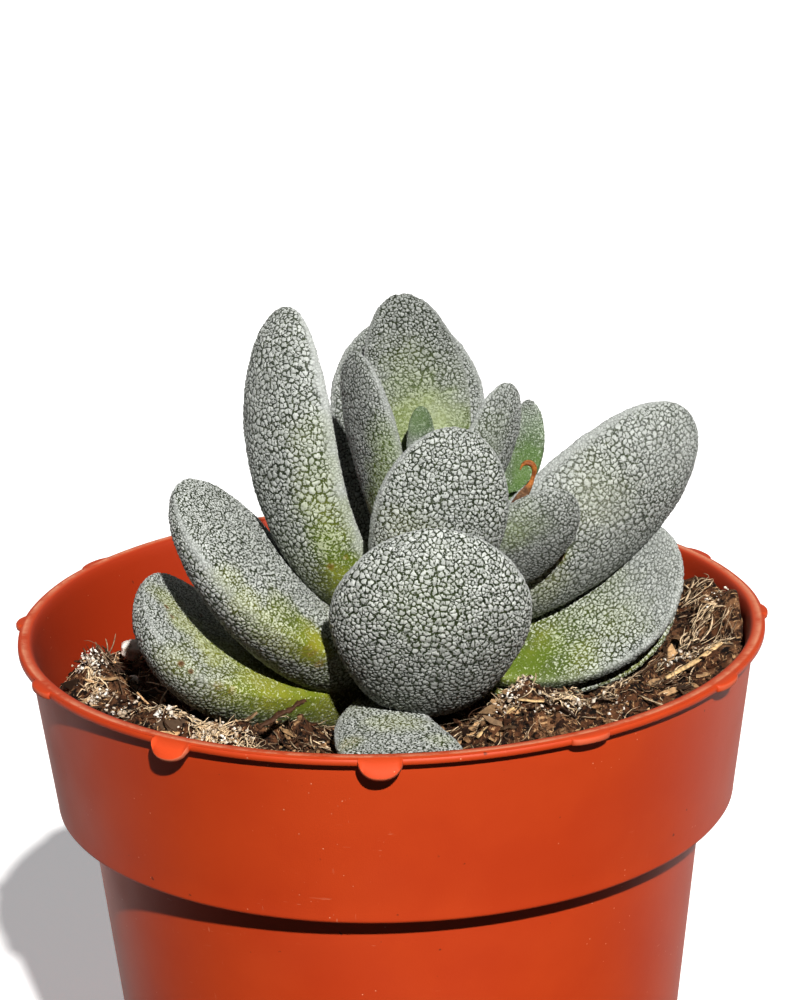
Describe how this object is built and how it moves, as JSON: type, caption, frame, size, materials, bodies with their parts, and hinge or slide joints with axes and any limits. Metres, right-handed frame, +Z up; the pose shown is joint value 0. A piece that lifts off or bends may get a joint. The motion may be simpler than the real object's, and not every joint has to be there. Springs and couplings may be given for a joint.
{
  "type": "potted crassula",
  "caption": "Small succulent rosette of thick silvery leaves on a short stem, standing in soil in a round tapered plastic nursery pot with a collar.",
  "frame": {"origin": "centre of the pot's underside, on the surface the pot stands on", "axes": "+Z up along the pot's axis; the view of the picture looks along +Y, so -Y is the front and +X is to the right"},
  "size_m": [0.0565, 0.0574, 0.0734],
  "materials": {
    "pot": "terracotta-orange injection-moulded plastic, satin gloss, dusty with fine scratches",
    "soil": "dark peat with pale fibres and perlite",
    "stem": "smooth green to brown",
    "leaf": "matt silver-grey waxy plates over dark green",
    "leaf_green": "matt, thinner silver bloom over green",
    "withered": "dry, papery, orange-brown",
    "straw": "dry straw",
    "perlite": "rough white grain"
  },
  "bodies": {
    "root": {"pot": "pot", "soil": "soil", "stem": "stem", "leaf_left_tall": "leaf", "leaf_left_middle": "leaf", "leaf_left_low": "leaf_green", "leaf_front_large": "leaf", "leaf_front_upper": "leaf", "leaf_front_low": "leaf", "leaf_back_inner": "leaf", "leaf_back_outer": "leaf", "leaf_back_low": "leaf", "leaf_inner_left": "leaf", "leaf_inner_right": "leaf", "leaf_heart": "leaf_green", "leaf_offset_green": "leaf_green", "leaf_offset_front": "leaf", "leaf_right_large": "leaf", "leaf_right_low": "leaf", "leaf_right_lowest": "leaf_green", "withered_tip": "withered", "straw_long": "straw", "straw_middle": "straw", "straw_short": "straw", "perlite_left": "perlite"}
  },
  "joints": []
}
